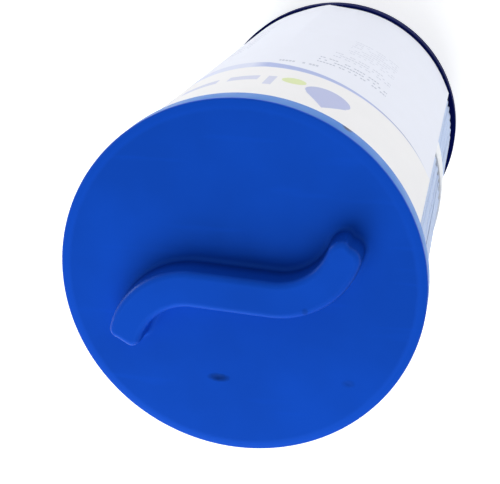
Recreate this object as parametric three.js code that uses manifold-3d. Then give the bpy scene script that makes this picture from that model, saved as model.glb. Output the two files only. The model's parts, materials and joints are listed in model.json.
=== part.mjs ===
// Filter cartridge for a pool or spa skimmer: a pleated element between two cast end caps.
// Millimetres, +Z up. The origin is the centre of the threaded fitting's open end, so the
// cartridge stands on its thread and its lifting handle is uppermost.

import * as THREE from 'three';
import { mergeVertices } from 'three/addons/utils/BufferGeometryUtils.js';
import Module from 'manifold-3d';

const wasm = await Module();
wasm.setup();

// ---- driving dimensions ----

const CAP_RADIUS = 62.7; // 4-15/16 in over both end caps
const BODY_LENGTH = 238.1; // outer face to outer face
const STUB_LENGTH = 25; // threaded fitting standing out of the bottom cap
const CAP_HEIGHT = 9.5; // rim of each cap
const CAP_PLATE = 5; // cap thickness inside the rim
const CAP_FILLET = 1.5; // rounded edge of each cap
const SKIRT_INNER_RADIUS = 60.9;
const SEAT_GAP = 0.3; // clearance between pieces that touch

const HANDLE_HEIGHT = 12;
const HANDLE_HALF_WIDTH = 6;
const HANDLE_END_TAPER = 0.9; // half-width lost by the end of the handle
const HANDLE_STRAIGHT = 12.9; // half of the straight middle stretch
const HANDLE_BEND_RADIUS = 23.3;
const HANDLE_SLOPE = -3.3; // degrees, direction of the middle stretch
const HANDLE_END_SLOPE = 75.4; // degrees, direction of both end stretches
const HANDLE_TIP = 3.3; // straight end stretch past each bend
const HANDLE_FAR_CORNER = 4.6; // plan rounding of the corners at the +X end
const HANDLE_NEAR_CORNER = 3.1; // and at the -X end
const HANDLE_EDGE = 1.5; // rounding of the top edge
const HANDLE_END_SKEW = 0.7; // each end face leans: its inner edge is longer, its outer one shorter
const HANDLE_ROOT = 3; // how far the handle runs into the cap plate

const PLEAT_COUNT = 104;
const PLEAT_CREST_RADIUS = 60.5;
const PLEAT_ROOT_RADIUS = 26;
const MEDIA_THICKNESS = 0.5;
const PLEAT_CREST_HALF_WIDTH = 1.25;
const PLEAT_ROOT_HALF_GAP = 0.14;
const SEAM_ANGLE = 200; // degrees, where the two ends of the pleat pack meet
const SEAM_INNER_RADIUS = 50;
const SEAM_OUTER_RADIUS = 59.4;
const SEAM_INNER_WIDTH = 3;
const SEAM_OUTER_WIDTH = 3.8;

const CORE_OUTER_RADIUS = 25.4;
const CORE_INNER_RADIUS = 22.9;
const CORE_COLUMNS = 10;
const CORE_ROWS = 8;
const CORE_RIB_SHARE = 0.4; // part of each column that is rib
const CORE_RING_SHARE = 0.3; // part of each row that is ring
const CORE_END_RING = 8;

const BAND_INNER_RADIUS = 60.7;
const BAND_OUTER_RADIUS = 61;
const BAND_WIDTH = 18.5;
const BAND_BELOW_TOP = 125; // band centre, down from the top face

const LABEL_INNER_RADIUS = 61.2;
const LABEL_OUTER_RADIUS = 61.5;
const LABEL_START_ANGLE = 19; // degrees from +X towards +Y
const LABEL_SPAN = 260; // degrees, a sheet 279 mm wide

const THREAD_PITCH = 25.4 / 11.5;
const THREAD_TIP_RADIUS = 23.7; // crest radius at the open end of a 1-1/2 in pipe thread
const THREAD_DEPTH = 1.75;
const THREAD_TAPER = 1 / 32; // radius gained per millimetre of length
const THREAD_LENGTH = 21;
const THREAD_CHAMFER = 1.5;
const FITTING_BORE_RADIUS = 19;
const FITTING_NECK_RADIUS = 24.2;
const FLANGE_RADIUS = 31;
const FLANGE_THICKNESS = 2.7;

const CAP_SEGMENTS = 60;
const TUBE_SEGMENTS = 40;
const THREAD_SEGMENTS = 24;

// ---- levels worked out from them ----

const BOTTOM_FACE = STUB_LENGTH;
const TOP_FACE = BOTTOM_FACE + BODY_LENGTH;
const BOTTOM_RIM_TOP = BOTTOM_FACE + CAP_HEIGHT;
const TOP_RIM_BOTTOM = TOP_FACE - CAP_HEIGHT;
const INNER_FLOOR = BOTTOM_FACE + CAP_PLATE;
const INNER_CEILING = TOP_FACE - CAP_PLATE;
const PACK_BOTTOM = INNER_FLOOR + SEAT_GAP;
const PACK_LENGTH = INNER_CEILING - SEAT_GAP - PACK_BOTTOM;

// ---- materials ----

function plastic(color, roughness) {
  return new THREE.MeshStandardMaterial({ color, roughness, metalness: 0 });
}

// ---- solids: three.js geometry to manifold-3d and back ----

function toSolid(geometry) {
  const bare = geometry.clone();
  bare.deleteAttribute('normal');
  bare.deleteAttribute('uv');
  const merged = mergeVertices(bare, 1e-4);
  const index = merged.index.array;
  const triangles = [];
  for (let i = 0; i < index.length; i += 3) {
    const [a, b, c] = [index[i], index[i + 1], index[i + 2]];
    if (a !== b && b !== c && c !== a) triangles.push(a, b, c);
  }
  return new wasm.Manifold(new wasm.Mesh({
    numProp: 3,
    vertProperties: new Float32Array(merged.attributes.position.array),
    triVerts: new Uint32Array(triangles),
  }));
}

function toGeometry(solid) {
  const mesh = solid.getMesh();
  const geometry = new THREE.BufferGeometry();
  geometry.setAttribute('position', new THREE.BufferAttribute(mesh.vertProperties, 3));
  geometry.setIndex(new THREE.BufferAttribute(mesh.triVerts, 1));
  geometry.computeVertexNormals();
  return geometry;
}

// A profile of [radius, height] pairs turned round the Z axis.
function turned(profile, segments) {
  const points = profile.map(([radius, height]) => new THREE.Vector2(radius, height));
  return new THREE.LatheGeometry(points, segments).rotateX(Math.PI / 2);
}

// A flat outline pushed up from height z.
function extruded(outline, z, length) {
  const shape = new THREE.Shape(outline.map(([x, y]) => new THREE.Vector2(x, y)));
  const geometry = new THREE.ExtrudeGeometry(shape, { depth: length, bevelEnabled: false });
  return geometry.translate(0, 0, z);
}

function polar(radius, angle) {
  return [radius * Math.cos(angle), radius * Math.sin(angle)];
}

function part(name, geometry, material) {
  const mesh = new THREE.Mesh(geometry, material);
  mesh.name = name;
  return mesh;
}

// ---- lifting handle: an S-shaped ridge cast in one with the top cap ----

const HANDLE_BEND = THREE.MathUtils.degToRad(HANDLE_END_SLOPE - HANDLE_SLOPE);
const HANDLE_HALF_LENGTH = HANDLE_STRAIGHT + HANDLE_BEND_RADIUS * HANDLE_BEND + HANDLE_TIP;

// Centre line at distance s from the middle: point and heading, the same both ways by half a turn.
function handleStation(s) {
  const side = s < 0 ? -1 : 1;
  const run = Math.abs(s);
  const slope = THREE.MathUtils.degToRad(HANDLE_SLOPE);
  const straight = Math.min(run, HANDLE_STRAIGHT);
  const bend = Math.min(Math.max(run - HANDLE_STRAIGHT, 0) / HANDLE_BEND_RADIUS, HANDLE_BEND);
  const tip = Math.max(run - HANDLE_STRAIGHT - HANDLE_BEND_RADIUS * HANDLE_BEND, 0);
  const heading = slope + bend;
  const x = straight * Math.cos(slope)
    + HANDLE_BEND_RADIUS * (Math.sin(heading) - Math.sin(slope)) + tip * Math.cos(heading);
  const y = straight * Math.sin(slope)
    - HANDLE_BEND_RADIUS * (Math.cos(heading) - Math.cos(slope)) + tip * Math.sin(heading);
  return { x: side * x, y: side * y, heading };
}

function handleHalfWidth(s) {
  const run = Math.abs(s);
  const corner = s < 0 ? HANDLE_NEAR_CORNER : HANDLE_FAR_CORNER;
  const width = HANDLE_HALF_WIDTH - HANDLE_END_TAPER * (run / HANDLE_HALF_LENGTH) ** 3;
  const intoCorner = run - (HANDLE_HALF_LENGTH - corner);
  if (intoCorner <= 0) return width;
  return width - corner + Math.sqrt(Math.max(corner ** 2 - intoCorner ** 2, 0));
}

// Places along one half of the handle, closer together round its end corner.
function handleStations(corner) {
  const plain = HANDLE_HALF_LENGTH - corner;
  const plainSteps = 9;
  const cornerSteps = 4;
  const stations = [];
  for (let i = 1; i <= plainSteps; i += 1) stations.push((plain * i) / plainSteps);
  for (let i = 1; i <= cornerSteps; i += 1) {
    stations.push(plain + corner * Math.sin((Math.PI / 2) * (i / cornerSteps)));
  }
  return stations;
}

function handleOutline() {
  const nearHalf = handleStations(HANDLE_NEAR_CORNER).reverse().map((s) => -s);
  const along = [...nearHalf, 0, ...handleStations(HANDLE_FAR_CORNER)];
  const edge = (s, side) => {
    const skewed = s + (side * HANDLE_END_SKEW * Math.abs(s)) / HANDLE_HALF_LENGTH;
    const { x, y, heading } = handleStation(skewed);
    const offset = side * handleHalfWidth(s);
    return [x - offset * Math.sin(heading), y + offset * Math.cos(heading)];
  };
  const lower = along.map((s) => edge(s, -1));
  const upper = along.map((s) => edge(s, 1)).reverse();
  return [...lower, ...upper];
}

function handleSolid() {
  const shape = new THREE.Shape(handleOutline().map(([x, y]) => new THREE.Vector2(x, y)));
  const geometry = new THREE.ExtrudeGeometry(shape, {
    depth: HANDLE_HEIGHT + HANDLE_ROOT - 2 * HANDLE_EDGE,
    bevelEnabled: true,
    bevelThickness: HANDLE_EDGE,
    bevelSize: HANDLE_EDGE,
    bevelOffset: -HANDLE_EDGE,
    bevelSegments: 2,
  });
  return toSolid(geometry.translate(0, 0, TOP_FACE - HANDLE_ROOT + HANDLE_EDGE));
}

// ---- end caps ----

// Outer edge of a cap, from the flat face round the fillet: out is +1 for a face that looks up.
function capEdge(face, out) {
  const steps = 3;
  const edge = [];
  for (let i = 0; i <= steps; i += 1) {
    const turn = (Math.PI / 2) * (i / steps);
    edge.push([
      CAP_RADIUS - CAP_FILLET + CAP_FILLET * Math.sin(turn),
      face - out * CAP_FILLET * (1 - Math.cos(turn)),
    ]);
  }
  return edge;
}

function topEndCap() {
  const profile = [
    [0, INNER_CEILING],
    [SKIRT_INNER_RADIUS, INNER_CEILING],
    [SKIRT_INNER_RADIUS, TOP_RIM_BOTTOM],
    [CAP_RADIUS, TOP_RIM_BOTTOM],
    ...capEdge(TOP_FACE, 1).reverse(),
    [0, TOP_FACE],
  ];
  const disc = toSolid(turned(profile, CAP_SEGMENTS));
  return toGeometry(disc.add(handleSolid()));
}

function bottomEndCap() {
  const holeRadius = FITTING_NECK_RADIUS + SEAT_GAP;
  const pocketRadius = FLANGE_RADIUS + SEAT_GAP;
  const pocketFloor = INNER_FLOOR - FLANGE_THICKNESS - SEAT_GAP;
  const profile = [
    [holeRadius, BOTTOM_FACE],
    ...capEdge(BOTTOM_FACE, -1),
    [CAP_RADIUS, BOTTOM_RIM_TOP],
    [SKIRT_INNER_RADIUS, BOTTOM_RIM_TOP],
    [SKIRT_INNER_RADIUS, INNER_FLOOR],
    [pocketRadius, INNER_FLOOR],
    [pocketRadius, pocketFloor],
    [holeRadius, pocketFloor],
    [holeRadius, BOTTOM_FACE],
  ];
  return toGeometry(toSolid(turned(profile, CAP_SEGMENTS)));
}

// ---- threaded fitting: tapered pipe thread, plain neck and a flange held in the bottom cap ----

// A rod whose surface rises and falls along a helix. Column i of the grid is one step round the
// thread, rows alternate root and crest, and the last column joins the first two rows higher up.
function threadedRod(low, high) {
  const rows = 2 * Math.ceil((high - low) / THREAD_PITCH) + 6;
  const start = low - 2 * THREAD_PITCH;
  const positions = [];
  for (let row = 0; row < rows; row += 1) {
    for (let i = 0; i < THREAD_SEGMENTS; i += 1) {
      const z = start + THREAD_PITCH * (row / 2 + i / THREAD_SEGMENTS);
      const crest = THREAD_TIP_RADIUS + THREAD_TAPER * z;
      const radius = row % 2 ? crest : crest - THREAD_DEPTH;
      positions.push(...polar(radius, (2 * Math.PI * i) / THREAD_SEGMENTS), z);
    }
  }
  const at = (i, row) => (i < THREAD_SEGMENTS ? row * THREAD_SEGMENTS + i : (row + 2) * THREAD_SEGMENTS);
  const triangles = [];
  for (let row = 0; row < rows - 1; row += 1) {
    const columns = row < rows - 3 ? THREAD_SEGMENTS : THREAD_SEGMENTS - 1;
    for (let i = 0; i < columns; i += 1) {
      triangles.push(at(i, row), at(i + 1, row), at(i + 1, row + 1));
      triangles.push(at(i, row), at(i + 1, row + 1), at(i, row + 1));
    }
  }
  const foot = positions.length / 3;
  const head = foot + 1;
  positions.push(0, 0, start, 0, 0, start + THREAD_PITCH * (rows / 2));
  const last = THREAD_SEGMENTS - 1;
  const footLoop = [];
  for (let i = 0; i <= last; i += 1) footLoop.push(at(i, 0));
  footLoop.push(at(0, 2), at(0, 1));
  const headLoop = [];
  for (let i = 0; i <= last; i += 1) headLoop.push(at(i, rows - 1));
  headLoop.push(at(last, rows - 2), at(last, rows - 3));
  footLoop.forEach((v, i) => triangles.push(foot, footLoop[(i + 1) % footLoop.length], v));
  headLoop.forEach((v, i) => triangles.push(head, v, headLoop[(i + 1) % headLoop.length]));
  const geometry = new THREE.BufferGeometry();
  geometry.setAttribute('position', new THREE.Float32BufferAttribute(positions, 3));
  geometry.setIndex(triangles);
  return toSolid(geometry);
}

function threadedFitting() {
  const tipRadius = THREAD_TIP_RADIUS - THREAD_CHAMFER;
  const envelope = toSolid(turned([
    [0, 0],
    [tipRadius, 0],
    [THREAD_TIP_RADIUS + 1, THREAD_CHAMFER + 1],
    [THREAD_TIP_RADIUS + 1, THREAD_LENGTH],
    [0, THREAD_LENGTH],
  ], TUBE_SEGMENTS));
  const flangeFloor = INNER_FLOOR - FLANGE_THICKNESS;
  const neck = toSolid(turned([
    [0, THREAD_LENGTH - 1],
    [FITTING_NECK_RADIUS - THREAD_DEPTH, THREAD_LENGTH - 1],
    [FITTING_NECK_RADIUS, THREAD_LENGTH + 0.75],
    [FITTING_NECK_RADIUS, flangeFloor],
    [FLANGE_RADIUS, flangeFloor],
    [FLANGE_RADIUS, INNER_FLOOR],
    [0, INNER_FLOOR],
  ], TUBE_SEGMENTS));
  const bore = toSolid(turned([
    [0, -1],
    [FITTING_BORE_RADIUS, -1],
    [FITTING_BORE_RADIUS, INNER_FLOOR + 1],
    [0, INNER_FLOOR + 1],
  ], TUBE_SEGMENTS));
  const thread = threadedRod(0, THREAD_LENGTH).intersect(envelope);
  return toGeometry(thread.add(neck).subtract(bore));
}

// ---- centre core: a moulded tube with rows of windows ----

function centreCore() {
  const edges = [];
  const pitch = (2 * Math.PI) / CORE_COLUMNS;
  for (let c = 0; c < CORE_COLUMNS; c += 1) edges.push(c * pitch, (c + CORE_RIB_SHARE) * pitch);
  const rowPitch = (PACK_LENGTH - 2 * CORE_END_RING) / CORE_ROWS;
  const levels = [0, CORE_END_RING];
  for (let r = 0; r < CORE_ROWS; r += 1) {
    const base = CORE_END_RING + r * rowPitch;
    if (r > 0) levels.push(base);
    levels.push(base + (1 - CORE_RING_SHARE) * rowPitch);
  }
  levels.push(PACK_LENGTH);
  const columns = edges.length;
  const isWindow = (column, row) => column % 2 === 1 && row % 2 === 1;
  const positions = [];
  const corner = (radius, column, level) => {
    const [x, y] = polar(radius, edges[column % columns]);
    return [x, y, PACK_BOTTOM + levels[level]];
  };
  const quad = (a, b, c, d) => positions.push(...a, ...b, ...c, ...a, ...c, ...d);
  for (let row = 0; row < levels.length - 1; row += 1) {
    for (let column = 0; column < columns; column += 1) {
      const outer = (c, l) => corner(CORE_OUTER_RADIUS, column + c, row + l);
      const inner = (c, l) => corner(CORE_INNER_RADIUS, column + c, row + l);
      if (!isWindow(column, row)) {
        quad(outer(0, 0), outer(1, 0), outer(1, 1), outer(0, 1));
        quad(inner(1, 0), inner(0, 0), inner(0, 1), inner(1, 1));
        if (row === 0) quad(inner(0, 0), inner(1, 0), outer(1, 0), outer(0, 0));
        if (row === levels.length - 2) quad(outer(0, 1), outer(1, 1), inner(1, 1), inner(0, 1));
      } else {
        quad(outer(0, 0), inner(0, 0), inner(0, 1), outer(0, 1));
        quad(inner(1, 0), outer(1, 0), outer(1, 1), inner(1, 1));
        quad(inner(0, 0), outer(0, 0), outer(1, 0), inner(1, 0));
        quad(outer(0, 1), inner(0, 1), inner(1, 1), outer(1, 1));
      }
    }
  }
  const geometry = new THREE.BufferGeometry();
  geometry.setAttribute('position', new THREE.Float32BufferAttribute(positions, 3));
  return toGeometry(toSolid(geometry));
}

// ---- pleated media: one sheet folded in and out between the core and the crests ----

// The pack takes one pitch more than it has pleats, which leaves room for the side seam.
const PLEAT_PITCH = (2 * Math.PI) / (PLEAT_COUNT + 1);
const SEAM_CENTRE = THREE.MathUtils.degToRad(SEAM_ANGLE);

function pleatedMedia() {
  const outside = [];
  const inside = [];
  const crest = PLEAT_CREST_RADIUS;
  const root = PLEAT_ROOT_RADIUS;
  const t = MEDIA_THICKNESS;
  const rootTurn = (radius, fromValley) => PLEAT_PITCH / 2 - fromValley / radius;
  for (let k = 0; k < PLEAT_COUNT; k += 1) {
    const middle = SEAM_CENTRE + (k + 1) * PLEAT_PITCH;
    const first = k === 0;
    const last = k === PLEAT_COUNT - 1;
    const outerRoot = rootTurn(root + t, PLEAT_ROOT_HALF_GAP);
    const innerRoot = rootTurn(root, PLEAT_ROOT_HALF_GAP + t);
    outside.push(polar(first ? root : root + t, middle - outerRoot));
    outside.push(polar(crest, middle - PLEAT_CREST_HALF_WIDTH / crest));
    outside.push(polar(crest, middle + PLEAT_CREST_HALF_WIDTH / crest));
    outside.push(polar(last ? root : root + t, middle + outerRoot));
    inside.push(polar(root, middle - innerRoot));
    inside.push(polar(crest - t, middle - (PLEAT_CREST_HALF_WIDTH - t) / (crest - t)));
    inside.push(polar(crest - t, middle + (PLEAT_CREST_HALF_WIDTH - t) / (crest - t)));
    inside.push(polar(root, middle + innerRoot));
  }
  return toGeometry(toSolid(extruded([...outside, ...inside.reverse()], PACK_BOTTOM, PACK_LENGTH)));
}

function mediaSideSeam() {
  const corner = (radius, width, side) => polar(radius, SEAM_CENTRE + (side * width) / 2 / radius);
  const outline = [
    corner(SEAM_INNER_RADIUS, SEAM_INNER_WIDTH, -1),
    corner(SEAM_OUTER_RADIUS, SEAM_OUTER_WIDTH, -1),
    corner(SEAM_OUTER_RADIUS, SEAM_OUTER_WIDTH, 1),
    corner(SEAM_INNER_RADIUS, SEAM_INNER_WIDTH, 1),
  ];
  return toGeometry(toSolid(extruded(outline, PACK_BOTTOM, PACK_LENGTH)));
}

// ---- wraps round the pleats ----

function midBand() {
  const low = TOP_FACE - BAND_BELOW_TOP - BAND_WIDTH / 2;
  const high = low + BAND_WIDTH;
  const profile = [
    [BAND_INNER_RADIUS, low],
    [BAND_OUTER_RADIUS, low],
    [BAND_OUTER_RADIUS, high],
    [BAND_INNER_RADIUS, high],
    [BAND_INNER_RADIUS, low],
  ];
  return toGeometry(toSolid(turned(profile, CAP_SEGMENTS)));
}

function labelSheet() {
  const start = THREE.MathUtils.degToRad(LABEL_START_ANGLE);
  const span = THREE.MathUtils.degToRad(LABEL_SPAN);
  const steps = Math.round((CAP_SEGMENTS * LABEL_SPAN) / 360);
  const angles = Array.from({ length: steps + 1 }, (_, i) => start + (span * i) / steps);
  const outline = [
    ...angles.map((angle) => polar(LABEL_OUTER_RADIUS, angle)),
    ...angles.reverse().map((angle) => polar(LABEL_INNER_RADIUS, angle)),
  ];
  const low = BOTTOM_RIM_TOP + SEAT_GAP;
  return toGeometry(toSolid(extruded(outline, low, TOP_RIM_BOTTOM - SEAT_GAP - low)));
}

// ---- assembly ----

const cartridge = new THREE.Group();
cartridge.add(
  part('top_end_cap', topEndCap(), plastic(0x1a4bbd, 0.35)),
  part('bottom_end_cap', bottomEndCap(), plastic(0x0a1c66, 0.5)),
  part('threaded_fitting', threadedFitting(), plastic(0xe4e6e8, 0.4)),
  part('center_core', centreCore(), plastic(0xe9ebee, 0.45)),
  part('pleated_media', pleatedMedia(), plastic(0xc3d0ea, 0.9)),
  part('media_side_seam', mediaSideSeam(), plastic(0xd9d2b8, 0.5)),
  part('mid_band', midBand(), plastic(0xf2f4f8, 0.7)),
  part('label_sheet', labelSheet(), plastic(0xefeeea, 0.6)),
);

export default cartridge;
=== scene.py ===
"""Filter cartridge: the fine surfaces, materials and stage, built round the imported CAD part."""

import json
import math

import bmesh
import bpy
from bpy.props import FloatProperty, FloatVectorProperty, IntProperty, PointerProperty
from mathutils import Matrix, Vector, noise


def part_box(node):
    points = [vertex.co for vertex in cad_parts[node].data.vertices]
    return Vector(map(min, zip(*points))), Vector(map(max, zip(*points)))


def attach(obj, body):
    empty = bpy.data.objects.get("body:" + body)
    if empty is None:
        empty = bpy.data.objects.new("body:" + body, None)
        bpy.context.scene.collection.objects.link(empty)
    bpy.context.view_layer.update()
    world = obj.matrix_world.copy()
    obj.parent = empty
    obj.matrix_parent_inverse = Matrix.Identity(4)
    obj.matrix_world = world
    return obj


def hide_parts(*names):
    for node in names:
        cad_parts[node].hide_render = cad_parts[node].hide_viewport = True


bl_info = {
    "name": "Filter Cartridge",
    "version": (1, 0, 0),
    "blender": (4, 5, 0),
    "location": "3D View > Sidebar > Cartridge",
    "description": "Builds a pleated filter cartridge with cast end caps, piece by piece",
    "category": "Mesh",
}

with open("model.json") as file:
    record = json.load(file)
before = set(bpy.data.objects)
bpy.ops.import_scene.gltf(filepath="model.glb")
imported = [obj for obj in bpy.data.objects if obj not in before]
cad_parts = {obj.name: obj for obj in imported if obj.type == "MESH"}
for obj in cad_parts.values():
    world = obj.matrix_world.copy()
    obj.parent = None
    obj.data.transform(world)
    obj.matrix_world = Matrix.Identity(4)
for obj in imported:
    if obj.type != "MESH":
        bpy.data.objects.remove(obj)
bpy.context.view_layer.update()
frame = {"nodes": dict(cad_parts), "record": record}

MM = 0.001
CLOSE = 1e-6  # corners nearer than this are one corner
BODY = "root"
MOUNTS = {mount["name"]: mount for mount in frame["record"]["mounts"]}

# Levels and radii that the CAD part fixes, in metres.
TOP_FACE = MOUNTS["top_cap_face"]["pos_m"][2]
BOTTOM_FACE = MOUNTS["bottom_cap_face"]["pos_m"][2]
TOP_RIM_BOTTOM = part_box("top_end_cap")[0].z
HANDLE_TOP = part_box("top_end_cap")[1].z
BOTTOM_RIM_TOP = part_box("bottom_end_cap")[1].z
CAP_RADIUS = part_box("top_end_cap")[1].x
PACK_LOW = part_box("pleated_media")[0].z
PACK_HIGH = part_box("pleated_media")[1].z
BAND_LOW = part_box("mid_band")[0].z
BAND_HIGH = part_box("mid_band")[1].z
BAND_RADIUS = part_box("mid_band")[1].x
CORE_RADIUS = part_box("center_core")[1].x
FLANGE_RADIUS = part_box("threaded_fitting")[1].x
FLANGE_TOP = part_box("threaded_fitting")[1].z


def shade(red, green, blue):
    """A display colour, 0 to 255, as the linear one that a shader takes."""
    def linear(value):
        value /= 255
        return value / 12.92 if value <= 0.04045 else ((value + 0.055) / 1.055) ** 2.4
    return (linear(red), linear(green), linear(blue))


def tint(colour, share):
    """A colour made darker, or lighter where the share is over 1."""
    return tuple(min(1.0, share * value) for value in colour)


# ---- settings ----


def length_setting(name, description, default):
    return FloatProperty(name=name, description=description, default=default, unit="LENGTH",
                         precision=5)


def angle_setting(name, description, degrees):
    return FloatProperty(name=name, description=description, default=math.radians(degrees),
                         subtype="ANGLE")


def strength_setting(name, description, default):
    return FloatProperty(name=name, description=description, default=default, min=0)


def colour_setting(name, description, default):
    return FloatVectorProperty(name=name, description=description, default=default,
                               subtype="COLOR", min=0, max=1)


class CartridgeCaps(bpy.types.PropertyGroup):
    """Sizes and colours of the two cast end caps and the handle."""

    radius: length_setting("Radius", "Radius over each cap", CAP_RADIUS)
    shoulder: length_setting("Shoulder", "Width of the sloped border of each face", 3.6 * MM)
    shoulder_drop: length_setting("Shoulder drop", "How far the border slopes down", 0.35 * MM)
    fillet: length_setting("Edge radius", "Rounding between border and rim", 0.9 * MM)
    half_width: length_setting("Handle half-width", "Half the handle's width, mid-way", 6.4 * MM)
    end_taper: length_setting("Handle taper", "Half-width lost by the handle's ends", 0.9 * MM)
    straight: length_setting("Handle straight", "Half of its straight middle", 12.9 * MM)
    bend: length_setting("Handle bend", "Radius of each bend's centre line", 23.3 * MM)
    tip: length_setting("Handle tip", "Straight end past each bend", 3.6 * MM)
    far_corner: length_setting("Far corner", "Plan rounding of the handle's +X end", 4.6 * MM)
    near_corner: length_setting("Near corner", "Plan rounding of its -X end", 3.1 * MM)
    skew: length_setting("Handle skew", "How far each end face leans", 0.7 * MM)
    root_fillet: length_setting("Root fillet", "Fillet where the handle rises", 1.6 * MM)
    crown: length_setting("Top rounding", "Rounding of the handle's top edge", 2.2 * MM)
    slope: angle_setting("Middle direction", "Direction of the handle's middle", -3.3)
    end_slope: angle_setting("End direction", "Direction of the handle's two ends", 75.4)
    top_colour: colour_setting("Top cap", "Colour of the top casting", (0.0045, 0.073, 0.55))
    # The rim's paler colour is a painted reflection: rim and face are one casting.
    rim_reflection_colour: colour_setting("Top rim", "Paler colour of its rim", (0.008, 0.165, 0.58))
    bottom_colour: colour_setting("Bottom cap", "Colour of the bottom casting",
                                  (0.0005, 0.004, 0.075))


class CartridgeMedia(bpy.types.PropertyGroup):
    """Sizes and colours of the pleat pack and its core."""

    pleats: IntProperty(name="Pleats", description="Folds in the pack", default=104, min=12)
    crest: length_setting("Crest radius", "Middle of the sheet at the outer folds", 60.2 * MM)
    root: length_setting("Root radius", "Middle of the sheet at the inner folds", 26.3 * MM)
    crest_fold: length_setting("Crest fold", "Radius of each outer fold", 1.22 * MM)
    root_fold: length_setting("Root fold", "Radius of each inner fold", 0.33 * MM)
    thickness: length_setting("Thickness", "Thickness of the sheet", 0.5 * MM)
    wander: length_setting("Wander", "How unevenly the folds stand", 0.9 * MM)
    seam: angle_setting("Seam", "Where the two ends of the pack meet", 200)
    core_wall: length_setting("Core wall", "Thickness of the core", 2.4 * MM)
    # The felt itself is white; its blue tint is painted shade and blue bounce light.
    colour: colour_setting("Media", "Colour of the filter felt", shade(196, 212, 242))
    core_colour: colour_setting("Core", "Colour of the core", shade(236, 238, 240))


class CartridgeWraps(bpy.types.PropertyGroup):
    """Sizes and colours of the label and the band round the pleats."""

    label_radius: length_setting("Label radius", "Middle of the label sheet", 61.35 * MM)
    label_thickness: length_setting("Label thickness", "Thickness of the sheet", 0.18 * MM)
    label_start: angle_setting("Label start", "Where the label's first edge lies", 19)
    label_span: angle_setting("Label span", "How far round the label reaches", 260)
    crease: angle_setting("Crease", "Where the label's upright crease lies", 93)
    cream: colour_setting("Head", "Label above the stripe", shade(238, 236, 236))
    lilac: colour_setting("Panel", "Label below the stripe", shade(231, 233, 243))
    stripe: colour_setting("Stripe", "Curved stripe between them", shade(166, 178, 222))
    mark: colour_setting("Mark", "Plain drop and bars on the head", shade(180, 186, 222))
    accent: colour_setting("Accent", "Small accent by the drop", shade(216, 226, 168))
    print_colour: colour_setting("Print", "Rows of plain dashes", shade(158, 164, 184))
    band_colour: colour_setting("Band", "Colour of the woven band", shade(247, 248, 250))


class CartridgeFitting(bpy.types.PropertyGroup):
    """Sizes and colour of the pipe-thread fitting."""

    pitch: length_setting("Pitch", "Distance from thread to thread", 25.4 / 11.5 * MM)
    tip_radius: length_setting("Tip radius", "Crest radius at the open end", 23.7 * MM)
    depth: length_setting("Depth", "Height of the thread", 1.75 * MM)
    taper: FloatProperty(name="Taper", description="Radius gained per length", default=1 / 32)
    length: length_setting("Thread length", "Length of the threaded stretch", 21 * MM)
    chamfer: length_setting("Chamfer", "Lead-in at the open end", 1.5 * MM)
    bore: length_setting("Bore radius", "Radius of the water passage", 19 * MM)
    neck: length_setting("Neck radius", "Radius of the plain neck", 24.2 * MM)
    colour: colour_setting("Fitting", "Colour of the moulding", shade(232, 234, 236))


class CartridgeStage(bpy.types.PropertyGroup):
    """Floor, light and camera."""

    floor_colour: colour_setting("Floor", "Colour of the floor", (0.9, 0.9, 0.9))
    floor_glow: strength_setting("Floor glow", "Light sent up by the floor", 0.65)
    sky: strength_setting("Sky", "Strength of the even light", 0.36)
    key: strength_setting("Key", "Power of the key light in watts", 12)
    fill: strength_setting("Fill", "Power of the side light in watts", 3)
    edge: strength_setting("Edge light", "Power of the low blue light in watts", 5)
    low_fill: strength_setting("Low fill", "Power in watts of the light below the cap", 6.5)
    lens: FloatProperty(name="Lens", description="Focal length in mm", default=81.37)


# ---- modelling helpers ----


def leave_edit_mode():
    if bpy.context.object and bpy.context.object.mode != "OBJECT":
        bpy.ops.object.mode_set(mode="OBJECT")


def deselect_all():
    leave_edit_mode()
    bpy.ops.object.select_all(action="DESELECT")
    bpy.context.view_layer.objects.active = None


def begin(name):
    """Starts a piece as a single corner at the origin, in edit mode."""
    deselect_all()
    bpy.ops.mesh.primitive_plane_add(size=MM)
    piece = bpy.context.object
    piece.name = piece.data.name = name
    bpy.ops.object.mode_set(mode="EDIT")
    bpy.ops.mesh.merge(type="CENTER")
    return piece


def select_everything():
    bpy.ops.mesh.select_all(action="SELECT")


def begin_empty(name):
    """Starts a piece with nothing in it, in edit mode."""
    piece = begin(name)
    select_everything()
    bpy.ops.mesh.delete(type="VERT")
    return piece


def draw_line(points):
    """Moves the one selected corner to the first point and extrudes it through the rest."""
    bpy.ops.transform.translate(value=points[0])
    for here, there in zip(points, points[1:]):
        bpy.ops.mesh.extrude_region_move(TRANSFORM_OT_translate={"value": there - here})


def edit_mesh(piece):
    return bmesh.from_edit_mesh(piece.data)


def selected_places(piece):
    mesh = edit_mesh(piece)
    return [corner.co.copy() for corner in mesh.verts if corner.select]


def lay(piece, old, new):
    """Moves each selected corner from its point of the old ring to the same point of the new."""
    mesh = edit_mesh(piece)
    for corner in mesh.verts:
        if corner.select:
            nearest = min(range(len(old)), key=lambda i: (old[i] - corner.co).length_squared)
            corner.co = new[nearest]
    bmesh.update_edit_mesh(piece.data)


def stack_rings(piece, rings, close=True):
    """Adds a circle, lays it on the first ring and extrudes it through the others."""
    count = len(rings[0])
    bpy.ops.mesh.select_all(action="DESELECT")
    bpy.ops.mesh.primitive_circle_add(vertices=count, radius=MM, fill_type="NOTHING")
    # Corners of a new circle don't always come in turn, so they are put in order by angle.
    start = sorted(selected_places(piece), key=lambda place: math.atan2(place.y, place.x))
    lay(piece, start, rings[0])
    for old, new in zip(rings, rings[1:]):
        bpy.ops.mesh.extrude_edges_move()
        lay(piece, old, new)
    if close:
        bpy.ops.mesh.edge_face_add()


def polar(radius, turn, height):
    return Vector((radius * math.cos(turn), radius * math.sin(turn), height))


def circle(radius, height, count):
    return [polar(radius, 2 * math.pi * i / count, height) for i in range(count)]


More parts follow.
